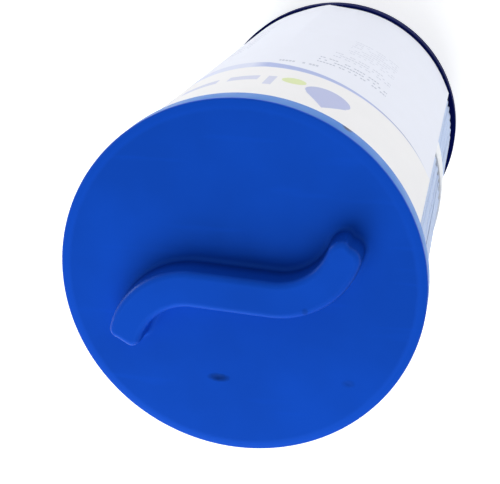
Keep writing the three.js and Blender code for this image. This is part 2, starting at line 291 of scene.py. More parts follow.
def set_radius(corner, radius):
    """Moves a corner straight towards or away from the Z axis."""
    corner.co.xy *= radius / corner.co.xy.length


def arc(centre_radius, centre_height, radius, start, end, steps):
    """Profile points (radius, height) along an arc, angles in degrees from outwards to up."""
    turns = [math.radians(start + (end - start) * i / steps) for i in range(steps + 1)]
    return [(centre_radius + radius * math.cos(turn), centre_height + radius * math.sin(turn))
            for turn in turns]


def select_open_edges():
    bpy.ops.mesh.select_all(action="DESELECT")
    bpy.ops.mesh.select_non_manifold(extend=False, use_wire=False, use_boundary=True,
                                     use_multi_face=False, use_non_contiguous=False,
                                     use_verts=False)


def close_up():
    """Merges doubles and turns every face outwards."""
    select_everything()
    bpy.ops.mesh.remove_doubles(threshold=CLOSE)
    bpy.ops.mesh.normals_make_consistent(inside=False)


def spin_round(steps, turn, dupli=False):
    """Spins what is selected anticlockwise round Z; the operator itself counts clockwise."""
    bpy.ops.mesh.spin(steps=steps, angle=-turn, dupli=dupli, center=(0, 0, 0), axis=(0, 0, 1))


def turn_profile(profile, steps):
    """Draws a profile of (radius, height) and spins it once round the Z axis."""
    draw_line([Vector((radius, 0, height)) for radius, height in profile])
    select_everything()
    spin_round(steps, 2 * math.pi)
    close_up()


def apply_modifier(piece, kind, **settings):
    leave_edit_mode()
    modifier = piece.modifiers.new(kind.title(), kind)
    for key, value in settings.items():
        setattr(modifier, key, value)
    bpy.ops.object.modifier_apply(modifier=modifier.name)


def finish_piece(piece, material, slot, *nodes, smooth=35):
    """Leaves edit mode, smooths, paints and fixes the piece to the frame."""
    deselect_all()
    piece.select_set(True)
    bpy.context.view_layer.objects.active = piece
    bpy.ops.object.shade_smooth_by_angle(angle=math.radians(smooth))
    piece.data.materials.clear()
    piece.data.materials.append(material)
    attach(piece, BODY)
    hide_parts(*nodes)


# ---- material helpers ----

FACE_LEVEL, HANDLE_LEVEL, RIM_LEVEL = TOP_FACE / MM, HANDLE_TOP / MM, TOP_RIM_BOTTOM / MM
# Stains on the top cap, and one dark spot that is painted shade in a nick on the rim.
STAINS_AND_NICK_SHADE = (  # centre, half-sizes along X, Y and Z in millimetres, strength
    ((-7.0, -35.5, FACE_LEVEL), (4.0, 1.6, 2.0), 0.62),  # round the deeper pit
    ((38.0, -33.5, FACE_LEVEL), (2.4, 1.6, 2.0), 0.2),  # round the shallow pit
    ((24.5, -3.5, HANDLE_LEVEL), (1.1, 1.6, 2.0), 0.3),  # on the handle
    # Painted shade: a dark spot for the shadow inside a nick low on the rim.
    ((34.0, 52.7, RIM_LEVEL + 1.2), (2.0, 2.0, 2.2), 1.0),  # nick low on the rim
)


class Finish:
    """A material under construction, with short calls for the nodes that it needs."""

    def __init__(self, name, colour, roughness, specular=0.5):
        self.material = bpy.data.materials.new(name)
        self.material.use_nodes = True
        self.tree = self.material.node_tree
        self.tree.nodes.clear()
        self.shader = self.node("ShaderNodeBsdfPrincipled")
        output = self.node("ShaderNodeOutputMaterial")
        self.tree.links.new(self.shader.outputs["BSDF"], output.inputs["Surface"])
        self.set("Base Color", (*colour, 1))
        self.set("Roughness", roughness)
        self.set("Specular IOR Level", specular)
        self.place = self.node("ShaderNodeTexCoord").outputs["Object"]

    def node(self, kind, **settings):
        made = self.tree.nodes.new(kind)
        for key, value in settings.items():
            setattr(made, key, value)
        return made

    def feed(self, socket, value):
        """Links a socket to another's output, or sets it to a plain value."""
        if isinstance(value, bpy.types.NodeSocket):
            self.tree.links.new(value, socket)
        else:
            socket.default_value = value

    def set(self, name, value):
        self.feed(self.shader.inputs[name], value)

    def maths(self, operation, *values):
        made = self.node("ShaderNodeMath", operation=operation)
        for socket, value in zip(made.inputs, values):
            self.feed(socket, value)
        return made.outputs[0]

    def minus(self, first, second):
        return self.maths("SUBTRACT", first, second)

    def times(self, first, second):
        return self.maths("MULTIPLY", first, second)

    def ramp(self, value, low, high, out_low=0.0, out_high=1.0):
        made = self.node("ShaderNodeMapRange", clamp=True)
        for socket, given in zip(made.inputs, (value, low, high, out_low, out_high)):
            self.feed(socket, given)
        return made.outputs[0]

    def mix(self, factor, first, second):
        made = self.node("ShaderNodeMix", data_type="RGBA")
        self.feed(made.inputs[0], factor)
        for socket, colour in ((made.inputs[6], first), (made.inputs[7], second)):
            self.feed(socket, colour if isinstance(colour, bpy.types.NodeSocket) else (*colour, 1))
        return made.outputs[2]

    def paint(self, value, low, high, first, second):
        """Colours the surface from first to second as the value goes from low to high."""
        self.set("Base Color", self.mix(self.ramp(value, low, high), first, second))

    def noise(self, scale, detail=2.0, vector=None):
        made = self.node("ShaderNodeTexNoise")
        self.feed(made.inputs["Vector"], self.place if vector is None else vector)
        made.inputs["Scale"].default_value = scale
        made.inputs["Detail"].default_value = detail
        return made.outputs["Fac"]

    def parts(self):
        """X, Y and Z of the object's own coordinates, in millimetres."""
        split = self.node("ShaderNodeSeparateXYZ")
        self.feed(split.inputs[0], self.place)
        return [self.maths("DIVIDE", output, MM) for output in split.outputs]

    def reach(self, x, y):
        """Distance from the origin of x and y."""
        return self.maths("SQRT", self.maths("ADD", self.maths("POWER", x, 2.0),
                                             self.maths("POWER", y, 2.0)))

    def around(self):
        """Angle round the Z axis from 0 to two pi, and height in millimetres."""
        x, y, z = self.parts()
        back = self.maths("ARCTAN2", self.times(y, -1.0), self.times(x, -1.0))
        return self.maths("ADD", back, math.pi), z

    def both(self, *masks):
        total = masks[0]
        for mask in masks[1:]:
            total = self.times(total, mask)
        return total

    def window(self, value, low, high):
        return self.both(self.maths("GREATER_THAN", value, low),
                         self.maths("LESS_THAN", value, high))

    def bump(self, height, strength, distance):
        made = self.node("ShaderNodeBump")
        made.inputs["Strength"].default_value = strength
        made.inputs["Distance"].default_value = distance
        self.feed(made.inputs["Height"], height)
        self.set("Normal", made.outputs[0])


def urethane(name, colour, roughness, specular):
    """Cast urethane: even colour with slow clouding and a fine grain."""
    finish = Finish(name, colour, roughness, specular)
    clouds = finish.noise(28, 3)
    base = finish.mix(finish.ramp(clouds, 0.35, 0.65), tint(colour, 0.92), tint(colour, 1.06))
    finish.set("Base Color", base)
    finish.set("Roughness", finish.ramp(finish.noise(140, 4), 0.3, 0.7,
                                        roughness - 0.04, roughness + 0.06))
    finish.bump(finish.noise(900, 2), 0.12, 0.1 * MM)
    return finish, base


def blue_urethane(caps):
    """The top casting: paler border, a paler rim that is a painted reflection, handle walls
    darkened as painted shade, stains, a painted shade spot for a nick on the rim, and faint
    scuffs.
    """
    finish, base = urethane("blue urethane", caps.top_colour, 0.4, 0.2)
    finish.set("Specular Tint", (0.3, 0.7, 1.0, 1))
    x, y, z = finish.parts()
    paler = tint(caps.top_colour, 1.16)
    border = (caps.radius - caps.shoulder) / MM
    sloped = finish.ramp(finish.reach(x, y), border - 0.4, border + 0.8, 0.0, 0.7)
    base = finish.mix(sloped, base, paler)
    # Painted reflection: below the face the rim takes the paler rim colour.
    below = finish.ramp(z, FACE_LEVEL - 2.0, FACE_LEVEL - 1.0, 1.0, 0.0)
    base = finish.mix(below, base, caps.rim_reflection_colour)
    # darker is the colour of both the painted shade on the handle walls and the stains.
    darker = tint(caps.top_colour, 0.12)
    # Painted shade: the handle walls facing +Y and their root fillet are darkened where the
    # handle's shadow falls, fading out towards the top.
    painted_wall_shade = finish.both(finish.ramp(z, FACE_LEVEL + 0.1, FACE_LEVEL + 1.6),
                        finish.ramp(y, -10.0, -3.0),
                        finish.ramp(z, HANDLE_LEVEL - 2.0, HANDLE_LEVEL - 0.5, 0.45, 0.0))
    base = finish.mix(painted_wall_shade, base, darker)
    wobble = finish.times(finish.minus(finish.noise(500, 3), 0.5), 0.9)
    # Stains, and the painted shade of the rim's nick, in the darker colour.
    for centre, sizes, strength in STAINS_AND_NICK_SHADE:
        away = wobble
        for value, middle, size in zip((x, y, z), centre, sizes):
            share = finish.maths("DIVIDE", finish.minus(value, middle), size)
            away = finish.maths("ADD", away, finish.maths("POWER", share, 2.0))
        base = finish.mix(finish.ramp(away, 0.1, 1.2, strength, 0.0), base, darker)
    smeared = finish.node("ShaderNodeMapping")
    finish.feed(smeared.inputs["Vector"], finish.place)
    smeared.inputs["Rotation"].default_value = (0, 0, 0.12)
    smeared.inputs["Scale"].default_value = (0.12, 1, 1)
    scuffs = finish.ramp(finish.noise(170, 2, smeared.outputs[0]), 0.63, 0.72, 0.0, 0.35)
    finish.set("Base Color", finish.mix(scuffs, base, paler))
    return finish.material


def felt_finish(colour):
    """Spun-bonded felt: matted fibres, darker between them, and painted shade down in the folds.
    """
    finish = Finish("filter felt", colour, 0.9, 0.2)
    stretched = finish.node("ShaderNodeMapping")
    finish.feed(stretched.inputs["Vector"], finish.place)
    stretched.inputs["Scale"].default_value = (1, 1, 0.35)
    fibres = finish.noise(2600, 3, stretched.outputs[0])
    mats = finish.noise(240, 2)
    x, y, _ = finish.parts()
    # Painted shade: below 59 mm radius the felt darkens, standing for the shadow down between the
    # folds.
    folds = finish.ramp(finish.reach(x, y), 59.0, 59.6)
    base = finish.mix(finish.ramp(fibres, 0.3, 0.65), tint(colour, 0.86), colour)
    finish.set("Base Color", finish.mix(folds, tint(colour, 0.2), base))
    finish.set("Sheen Weight", 0.25)
    finish.bump(finish.maths("ADD", fibres, mats), 0.35, 0.12 * MM)
    return finish.material


def woven_finish(colour):
    """Close-woven strap: ribs along its length crossed by finer picks."""
    finish = Finish("woven band", colour, 0.75, 0.25)
    turn, height = finish.around()
    ribs = finish.maths("SINE", finish.times(height, 2 * math.pi / 1.1))
    picks = finish.maths("SINE", finish.times(turn, 61.0 * 2 * math.pi / 0.8))
    weave = finish.times(ribs, picks)
    finish.paint(weave, -1, 0.2, tint(colour, 0.88), colour)
    finish.bump(weave, 0.4, 0.08 * MM)
    return finish.material


def moulded_finish(name, colour, roughness):
    """Injection-moulded plastic: smooth, with faint flow marks."""
    finish = Finish(name, colour, roughness, 0.45)
    flow = finish.noise(45, 4)
    finish.paint(flow, 0.35, 0.65, tint(colour, 0.93), colour)
    finish.bump(finish.noise(700, 2), 0.06, 0.05 * MM)
    return finish.material


def glue_finish():
    """Hot-melt adhesive: pale amber, glossy and a little cloudy."""
    finish = Finish("hot melt", shade(222, 212, 178), 0.35, 0.5)
    finish.paint(finish.noise(180, 3), 0.3, 0.7, shade(204, 190, 150), shade(230, 222, 192))
    finish.set("Subsurface Weight", 0.2)
    finish.set("Subsurface Scale", 2 * MM)
    finish.bump(finish.noise(400, 2), 0.3, 0.2 * MM)
    return finish.material


# ---- top cap ----

CAP_STEPS = 192
HANDLE_STEPS = 36
CORNER_STEPS = 8
FLAT_BORDER = 0.3 * MM  # level strip kept round every hole in the face


def handle_station(caps, along):
    """Point and direction of the handle's centre line, the same both ways by half a turn."""
    side = -1 if along < 0 else 1
    run = abs(along)
    turn = caps.end_slope - caps.slope
    straight = min(run, caps.straight)
    bend = min(max(run - caps.straight, 0) / caps.bend, turn)
    tip = max(run - caps.straight - caps.bend * turn, 0)
    heading = caps.slope + bend
    x = (straight * math.cos(caps.slope) + caps.bend * (math.sin(heading) - math.sin(caps.slope))
         + tip * math.cos(heading))
    y = (straight * math.sin(caps.slope) - caps.bend * (math.cos(heading) - math.cos(caps.slope))
         + tip * math.sin(heading))
    return side * x, side * y, heading


def handle_ring(caps, out, height):
    """The handle's outline, pushed sideways by out, at a height above the face."""
    half = caps.straight + caps.bend * (caps.end_slope - caps.slope) + caps.tip

    def half_path(side, rounding):
        """Places along one half, each with how far the corner narrows the handle there."""
        plain, corner = half - rounding, rounding + out
        path = [(side * plain * i / HANDLE_STEPS, 0.0) for i in range(HANDLE_STEPS)]
        for i in range(CORNER_STEPS + 1):
            turn = math.pi / 2 * i / CORNER_STEPS
            path.append((side * (plain + corner * math.sin(turn)),
                         corner * (1 - math.cos(turn))))
        return path

    path = half_path(-1, caps.near_corner)[:0:-1] + half_path(1, caps.far_corner)

    def edge(along, narrow, side):
        width = caps.half_width + out - narrow
        width -= caps.end_taper * min(abs(along) / half, 1) ** 3
        x, y, heading = handle_station(caps, along + side * caps.skew * abs(along) / half)
        return Vector((x - side * width * math.sin(heading),
                       y + side * width * math.cos(heading), TOP_FACE + height))

    lower = [edge(along, narrow, -1) for along, narrow in path]
    upper = [edge(along, narrow, 1) for along, narrow in reversed(path)]
    return lower + upper


def handle_rings(caps):
    """Flat border, root fillet, upright wall, rounded top edge."""
    fillet, crown = caps.root_fillet, caps.crown
    height = HANDLE_TOP - TOP_FACE
    rings = [(fillet + FLAT_BORDER, 0.0), (fillet, 0.0)]
    for i in range(1, 8):
        turn = math.pi / 2 * i / 7
        rings.append((fillet * (1 - math.sin(turn)), fillet * (1 - math.cos(turn))))
    rings.append((0.0, (fillet + height - crown) / 2))
    for i in range(8):
        turn = math.pi / 2 * i / 7
        rings.append((-crown * (1 - math.cos(turn)), height - crown * (1 - math.sin(turn))))
    rings.append((rings[-1][0] - 0.2 * MM, height))
    return [handle_ring(caps, out, up) for out, up in rings]


def cap_edge_profile(caps, rim_length, foot):
    """Border, fillet and rim of a cap as (radius, drop below the face)."""
    start = caps.radius - caps.shoulder
    profile = [(start - FLAT_BORDER, 0.0), (start, 0.0)]
    flat = caps.shoulder - caps.fillet
    for i in range(1, 7):
        share = i / 6
        profile.append((start + flat * share, caps.shoulder_drop * share ** 2))
    for radius, rise in arc(caps.radius - caps.fillet, 0, caps.fillet, 75, 0, 7):
        profile.append((radius, caps.shoulder_drop + caps.fillet - rise))
    profile.append((caps.radius, rim_length - foot))
    for radius, rise in arc(caps.radius - foot, 0, foot, 0, -90, 4)[1:]:
        profile.append((radius, rim_length - foot - rise))
    return profile


PIT_STEPS = 28


def pit_rings(centre, size, stretch, turn, depth):
    """A shallow dimple in the face, longer one way."""
    rings = []
    for share, drop in ((1.25, 0), (1.05, 0), (0.85, 0.12), (0.6, 0.5), (0.35, 0.85), (0.15, 1)):
        ring = []
        for point in circle(size * share, 0, PIT_STEPS):
            x, y = point.x * stretch, point.y
            ring.append(Vector((centre[0] + x * math.cos(turn) - y * math.sin(turn),
                                centre[1] + x * math.sin(turn) + y * math.cos(turn),
                                TOP_FACE - depth * drop)))
        rings.append(ring)
    return rings


PITS = (  # centre, half-width, stretch, direction, depth
    ((-7.5 * MM, -35.5 * MM), 1.1 * MM, 1.8, 0.2, 0.2 * MM),
    ((38 * MM, -33.5 * MM), 0.9 * MM, 1.6, -0.3, 0.08 * MM),
)


class CARTRIDGE_OT_top_cap(bpy.types.Operator):
    """Cast the top cap with its S-shaped handle"""

    bl_idname = "cartridge.top_cap"
    bl_label = "Top cap"

    def execute(self, context):
        caps = context.scene.cartridge_caps
        piece = begin_empty("top_cap_casting")
        foot = 0.4 * MM
        profile = cap_edge_profile(caps, TOP_FACE - TOP_RIM_BOTTOM, foot)
        rings = [circle(radius, TOP_FACE - drop, CAP_STEPS) for radius, drop in profile]
        stack_rings(piece, rings)
        stack_rings(piece, handle_rings(caps))
        for pit in PITS:
            stack_rings(piece, pit_rings(*pit))
        select_open_edges()
        bpy.ops.mesh.fill(use_beauty=True)
        close_up()
        material = blue_urethane(caps)
        finish_piece(piece, material, "blue_urethane", "top_end_cap")
        return {"FINISHED"}


# ---- bottom cap ----


class CARTRIDGE_OT_bottom_cap(bpy.types.Operator):
    """Cast the bottom cap round the fitting's neck"""

    bl_idname = "cartridge.bottom_cap"
    bl_label = "Bottom cap"

    def execute(self, context):
        caps = context.scene.cartridge_caps
        fitting = context.scene.cartridge_fitting
        piece = begin("bottom_cap_casting")
        rim = BOTTOM_RIM_TOP - BOTTOM_FACE
        edge = cap_edge_profile(caps, rim, 0.4 * MM)
        hole = fitting.neck + 0.1 * MM
        lip = 0.8 * MM
        profile = [(hole, BOTTOM_RIM_TOP), (hole, BOTTOM_FACE + lip)]
        profile += [(radius, BOTTOM_FACE - rise) for radius, rise in
                    arc(hole + lip, -lip, lip, 180, 90, 5)[1:]]
        profile += [(radius, BOTTOM_FACE + drop) for radius, drop in edge]
        profile.append(profile[0])
        turn_profile(profile, CAP_STEPS)
        material = urethane("navy urethane", caps.bottom_colour, 0.6, 0.03)[0].material
        finish_piece(piece, material, "navy_urethane", "bottom_end_cap")
        return {"FINISHED"}


# ---- threaded fitting ----


THREAD_STEPS = 72
NECK_STEPS = 144


class CARTRIDGE_OT_fitting(bpy.types.Operator):
    """Cut the tapered pipe thread and add its neck, flange and bore"""

    bl_idname = "cartridge.fitting"
    bl_label = "Threaded fitting"

    def execute(self, context):
        fitting = context.scene.cartridge_fitting
        piece = begin("pipe_thread_fitting")
        self.cut_thread(piece, fitting)
        self.add_body(piece, fitting)
        material = moulded_finish("fitting plastic", fitting.colour, 0.3)
        finish_piece(piece, material, "fitting_plastic", "threaded_fitting", smooth=25)
        return {"FINISHED"}

    def cut_thread(self, piece, fitting):
        """One thread's outline, wound up into a helix and cut off level at both ends."""
        root = fitting.tip_radius - fitting.depth
        outline = ((root, 0), (root, 0.1), (fitting.tip_radius, 0.44), (fitting.tip_radius, 0.56),
                   (root, 0.9), (root, 1))
        low = -2 * fitting.pitch
        draw_line([Vector((radius, 0, low + share * fitting.pitch)) for radius, share in outline])
        turns = math.ceil(fitting.length / fitting.pitch) + 3
        apply_modifier(piece, "SCREW", angle=2 * math.pi, screw_offset=fitting.pitch,
                       iterations=turns, steps=THREAD_STEPS, render_steps=THREAD_STEPS, axis="Z",
                       use_merge_vertices=True, merge_threshold=1e-5)
        bpy.ops.object.mode_set(mode="EDIT")
        close_up()
        for height, above in ((0.0, False), (fitting.length, True)):
            select_everything()
            bpy.ops.mesh.bisect(plane_co=(0, 0, height), plane_no=(0, 0, 1), clear_outer=above,
                                clear_inner=not above, threshold=CLOSE)
        mesh = edit_mesh(piece)
        for corner in mesh.verts:
            radius = corner.co.xy.length
            limit = fitting.tip_radius - fitting.chamfer + corner.co.z
            wanted = min(radius + fitting.taper * corner.co.z, limit + fitting.taper * corner.co.z)
            set_radius(corner, wanted)
        bmesh.update_edit_mesh(piece.data)

    def add_body(self, piece, fitting):
        """Shoulder above the thread, neck, flange, then down the bore to the open end."""
        shoulder = fitting.tip_radius + fitting.taper * fitting.length + 0.5 * MM
        flange_low = FLANGE_TOP - 2.7 * MM
        profile = [
            (shoulder, fitting.length),
            (shoulder, fitting.length + 0.8 * MM),
            (fitting.neck, fitting.length + 1.2 * MM),
            (fitting.neck, flange_low),
            (FLANGE_RADIUS, flange_low),
            (FLANGE_RADIUS, FLANGE_TOP),
            (fitting.bore, FLANGE_TOP),
            (fitting.bore, 1 * MM),
            (fitting.bore + 0.5 * MM, 0),
        ]
        rings = [circle(radius, height, NECK_STEPS) for radius, height in profile]
        stack_rings(piece, rings, close=False)
        for height in (0.0, fitting.length):
            select_open_edges()
            mesh = edit_mesh(piece)
            for edge in mesh.edges:
                level = all(abs(corner.co.z - height) < CLOSE for corner in edge.verts)
                edge.select_set(edge.select and level)
            bmesh.update_edit_mesh(piece.data)
            bpy.ops.mesh.fill(use_beauty=True)
        close_up()


# ---- centre core ----


class CARTRIDGE_OT_core(bpy.types.Operator):
    """Mould the windowed tube that the pleats lean on"""

    bl_idname = "cartridge.core"
    bl_label = "Centre core"

    columns = 18
    rows = 22
    end_ring = 7 * MM
    open_share = 0.62  # part of each row that is window

    def execute(self, context):
        media = context.scene.cartridge_media
        piece = begin_empty("windowed_core")
        around = self.columns * 6
        pitch = (PACK_HIGH - PACK_LOW - 2 * self.end_ring) / self.rows
        levels = [PACK_LOW, PACK_LOW + self.end_ring]
        for row in range(self.rows):
            base = PACK_LOW + self.end_ring + row * pitch
            levels += [base + self.open_share * pitch, base + pitch]
        levels[-1] = PACK_HIGH
        radius = CORE_RADIUS - media.core_wall
        stack_rings(piece, [circle(radius, level, around) for level in levels], close=False)
        self.cut_windows(piece, levels)
        apply_modifier(piece, "SOLIDIFY", thickness=media.core_wall, offset=1)
        apply_modifier(piece, "BEVEL", width=0.25 * MM, segments=1, limit_method="ANGLE",
                       angle_limit=math.radians(40))
        material = moulded_finish("core plastic", media.core_colour, 0.4)
        finish_piece(piece, material, "core_plastic", "center_core")
        return {"FINISHED"}

    def cut_windows(self, piece, levels):
        close_up()
        bpy.ops.mesh.select_all(action="DESELECT")
        mesh = edit_mesh(piece)
        bpy.ops.mesh.select_mode(type="FACE")
        column_turn = 2 * math.pi / self.columns
        for face in mesh.faces:
            middle = face.calc_center_median()
            row = sum(level < middle.z for level in levels) - 1
            share = (math.atan2(middle.y, middle.x) / column_turn) % 1
            face.select_set(row % 2 == 1 and 0 < row < len(levels) - 2 and share < 4 / 6)
        bmesh.update_edit_mesh(piece.data)
        bpy.ops.mesh.delete(type="FACE")
        bpy.ops.mesh.select_mode(type="VERT")


# ---- pleats ----

PLEAT_ROWS = 14
CREST_PLAY = 0.25 * MM  # how far a crest may stand back from the others


def pleat_points(media, pitch):
    """One fold of the sheet from valley to valley, as points on the level PACK_LOW."""
    points = []
    crest_centre = media.crest - media.crest_fold
    root_centre = media.root + media.root_fold

    half = pitch / 2
    valley = []
    for degrees in (90, 45, 0):
        turn = math.radians(degrees)
        radius = root_centre - media.root_fold * math.cos(turn)
        valley.append(polar(radius, -half + media.root_fold * math.sin(turn) / radius, PACK_LOW))
    points += valley[::-1]
    for i in range(9):
        turn = math.radians(-90 + 180 * i / 8)
        points.append(Vector((crest_centre + media.crest_fold * math.cos(turn),
                              media.crest_fold * math.sin(turn), PACK_LOW)))
    points += [Vector((point.x, -point.y, point.z)) for point in valley]
    return points


class CARTRIDGE_OT_media(bpy.types.Operator):
    """Fold the filter sheet round the core"""

    bl_idname = "cartridge.media"
    bl_label = "Pleated media"

    def execute(self, context):
        media = context.scene.cartridge_media
        piece = begin("pleat_pack")
        pitch = 2 * math.pi / (media.pleats + 1)
        draw_line(pleat_points(media, pitch))
        select_everything()
        bpy.ops.transform.rotate(value=-(media.seam + pitch), orient_axis="Z",
                                 center_override=(0, 0, 0))
        spin_round(media.pleats - 1, pitch * (media.pleats - 1), dupli=True)
        select_everything()
        bpy.ops.mesh.remove_doubles(threshold=CLOSE)
        step = (PACK_HIGH - PACK_LOW) / PLEAT_ROWS
        for _ in range(PLEAT_ROWS):
            bpy.ops.mesh.extrude_edges_move(TRANSFORM_OT_translate={"value": (0, 0, step)})
        select_everything()
        bpy.ops.mesh.normals_make_consistent(inside=False)
        self.loosen(piece, media)
        apply_modifier(piece, "SOLIDIFY", thickness=media.thickness, offset=0)
        material = felt_finish(media.colour)
        finish_piece(piece, material, "filter_media", "pleated_media", smooth=60)
        return {"FINISHED"}

    def loosen(self, piece, media):
        """Lets the outer folds wander a little, slowly along their length."""
        mesh = edit_mesh(piece)
        for corner in mesh.verts:
            radius = corner.co.xy.length
            turn = math.atan2(corner.co.y, corner.co.x)
            share = max(0.0, (radius - media.root) / (media.crest - media.root)) ** 2
            steps = round(turn * (media.pleats + 1) / (2 * math.pi))
            spot = Vector((steps * 3.7, 0.5, corner.co.z * 7))
            turn += share * media.wander * noise.noise(spot) * 1.6 / radius
            radius -= share * CREST_PLAY * abs(noise.noise(spot + Vector((0, 9, 0))))
            corner.co = polar(radius, turn, corner.co.z)
        bmesh.update_edit_mesh(piece.data)


class CARTRIDGE_OT_side_seam(bpy.types.Operator):
    """Give the pack's side seam its adhesive finish"""

    bl_idname = "cartridge.side_seam"
    bl_label = "Side seam"

    def execute(self, context):
        seam = frame["nodes"]["media_side_seam"]
        seam.data.materials.clear()
        seam.data.materials.append(glue_finish())
        return {"FINISHED"}


# ---- band ----


class CARTRIDGE_OT_band(bpy.types.Operator):
    """Wrap the woven band round the pleats and raise its lap"""

    bl_idname = "cartridge.band"
    bl_label = "Mid band"

    lap_turn = math.radians(-58)
    lap_length = 26 * MM
    lap_height = 0.45 * MM
    lap_fade = 6 * MM

    def execute(self, context):
        wraps = context.scene.cartridge_wraps
        piece = begin("woven_band")
        outer = BAND_RADIUS
        inner = BAND_RADIUS - 1.1 * MM
        edge = 0.25 * MM
        profile = [(inner, BAND_LOW + edge)]
        profile += arc(inner + edge, BAND_LOW + edge, edge, 180, 270, 3)[1:]
        profile += arc(outer - edge, BAND_LOW + edge, edge, 270, 360, 3)[1:]
        profile.append((outer + 0.08 * MM, (BAND_LOW + BAND_HIGH) / 2))
        profile += arc(outer - edge, BAND_HIGH - edge, edge, 0, 90, 3)
        profile += arc(inner + edge, BAND_HIGH - edge, edge, 90, 180, 3)[1:]
        profile.append(profile[0])
        turn_profile(profile, CAP_STEPS)
        self.raise_lap(piece)
        material = woven_finish(wraps.band_colour)
        finish_piece(piece, material, "band_web", "mid_band")
        return {"FINISHED"}

    def raise_lap(self, piece):
        """The overlapped end stands proud, and fades back where the strap runs on."""
        mesh = edit_mesh(piece)
        for corner in mesh.verts:
            turn = math.atan2(corner.co.y, corner.co.x) - self.lap_turn
            run = turn * BAND_RADIUS
            past = max(0.0, run - self.lap_length) / self.lap_fade
            rise = self.lap_height * (1 - past) if 0 <= run and past < 1 else 0.0
            radius = corner.co.xy.length
            if radius > BAND_RADIUS - 0.35 * MM:  # the outer skin only
                set_radius(corner, radius + rise)
        bmesh.update_edit_mesh(piece.data)


# ---- label ----

LABEL_ROWS = 60
LABEL_STEPS = 260


class CARTRIDGE_OT_label(bpy.types.Operator):
    """Wrap the printed sheet round the body"""

    bl_idname = "cartridge.label"
    bl_label = "Label"

    crease_height = 1.15 * MM
    crease_sides = (11, 15)  # degrees that the paper stands off before and past the crease
    waviness = 0.09 * MM
    edge_lift = 0.25 * MM
    edge_reach = 5 * MM

    def execute(self, context):
        wraps = context.scene.cartridge_wraps
        piece = begin("printed_label")
        low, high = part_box("label_sheet")[0].z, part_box("label_sheet")[1].z
        start = wraps.label_start
        step = (high - low) / LABEL_ROWS
        draw_line([polar(wraps.label_radius, start, low + i * step)
                   for i in range(LABEL_ROWS + 1)])
        select_everything()
        spin_round(LABEL_STEPS, wraps.label_span)
        self.crumple(piece, wraps)
        select_everything()
        bpy.ops.mesh.normals_make_consistent(inside=False)
        apply_modifier(piece, "SOLIDIFY", thickness=wraps.label_thickness, offset=0)
        finish_piece(piece, label_finish(wraps), "label_paper", "label_sheet", smooth=40)
        return {"FINISHED"}

    def crumple(self, piece, wraps):
        """The crease stands out more towards the bottom; the free edges lift a little."""
        mesh = edit_mesh(piece)
        for corner in mesh.verts:
            turn = math.atan2(corner.co.y, corner.co.x) % (2 * math.pi)
            down = (TOP_FACE - corner.co.z) / (TOP_FACE - BOTTOM_RIM_TOP)
            past = math.degrees(turn - wraps.crease)
            before, after = self.crease_sides
            if past < 0:
                tent = max(0.0, 1 + past / before) ** 2
            else:
                tent = max(0.0, 1 - past / after) ** 1.4
            ease = max(0.0, min(1.0, (down - 0.12) / 0.6))
            rise = self.crease_height * tent * ease * ease * (3 - 2 * ease)
            spot = Vector((turn * 1.7, corner.co.z * 9, 3.1))
            rise += self.waviness * noise.noise(spot)
            from_edge = min(turn - wraps.label_start,
                            wraps.label_start + wraps.label_span - turn) * wraps.label_radius
            rise += self.edge_lift * max(0.0, 1 - from_edge / self.edge_reach) ** 2
            set_radius(corner, corner.co.xy.length + rise)
        bmesh.update_edit_mesh(piece.data)


def label_finish(wraps):
    """Coated paper with a curved stripe between two pale fields and plain generic print."""
    finish = Finish("printed paper", wraps.cream, 0.55, 0.35)
    turn, height = finish.around()
    degrees = finish.times(turn, 180 / math.pi)
    down = finish.minus(TOP_FACE / MM, height)
    across = finish.times(turn, wraps.label_radius / MM)

    # The stripe's upper edge swings down on both sides of its highest point, and the stripe
    # grows from a thin end to its full thickness. Lengths are in millimetres.
    highest, swing_depth = 58.3, 29.6
    thinnest, swell_depth, thickest = 1.3, 12.5, 13.0
    swing = finish.maths("COSINE", finish.minus(turn, math.radians(66)))
    upper = finish.minus(highest + swing_depth, finish.times(swing, swing_depth))
    swell = finish.maths("COSINE", finish.minus(turn, math.radians(27)))
    thickness = finish.minus(thinnest + swell_depth, finish.times(swell, swell_depth))
    thickness = finish.maths("MINIMUM", thickness, thickest)
    below = finish.minus(down, upper)
    field = finish.mix(finish.ramp(below, -0.3, 0.3), wraps.cream, wraps.lilac)
    stripe = finish.both(finish.ramp(below, 0.0, 0.4),
                         finish.ramp(finish.minus(thickness, below), 0.0, 0.4))
    # The stripe fades in at its start, and past the crease it fades to a third: that part is
    # painted glare where light washes the paper out.
    stripe_fade_and_glare = finish.both(finish.ramp(degrees, 22, 34), finish.ramp(degrees, 93, 99, 1.0, 0.35))
    tone = finish.mix(finish.ramp(degrees, 38, 58), tint(wraps.stripe, 0.72), wraps.stripe)
    colour = finish.mix(finish.both(stripe, stripe_fade_and_glare), field, tone)

    colour = print_drop(finish, wraps, across, down, colour)
    colour = print_bars(finish, wraps, across, down, colour)
    colour = print_rows(finish, wraps, across, down, colour)

    mottle = finish.noise(90, 3)
    speckle = finish.mix(finish.ramp(mottle, 0.3, 0.7, 0.0, 0.05), colour, shade(205, 205, 205))
    finish.set("Base Color", speckle)
    finish.bump(finish.noise(1500, 3), 0.1, 0.05 * MM)
    return finish.material


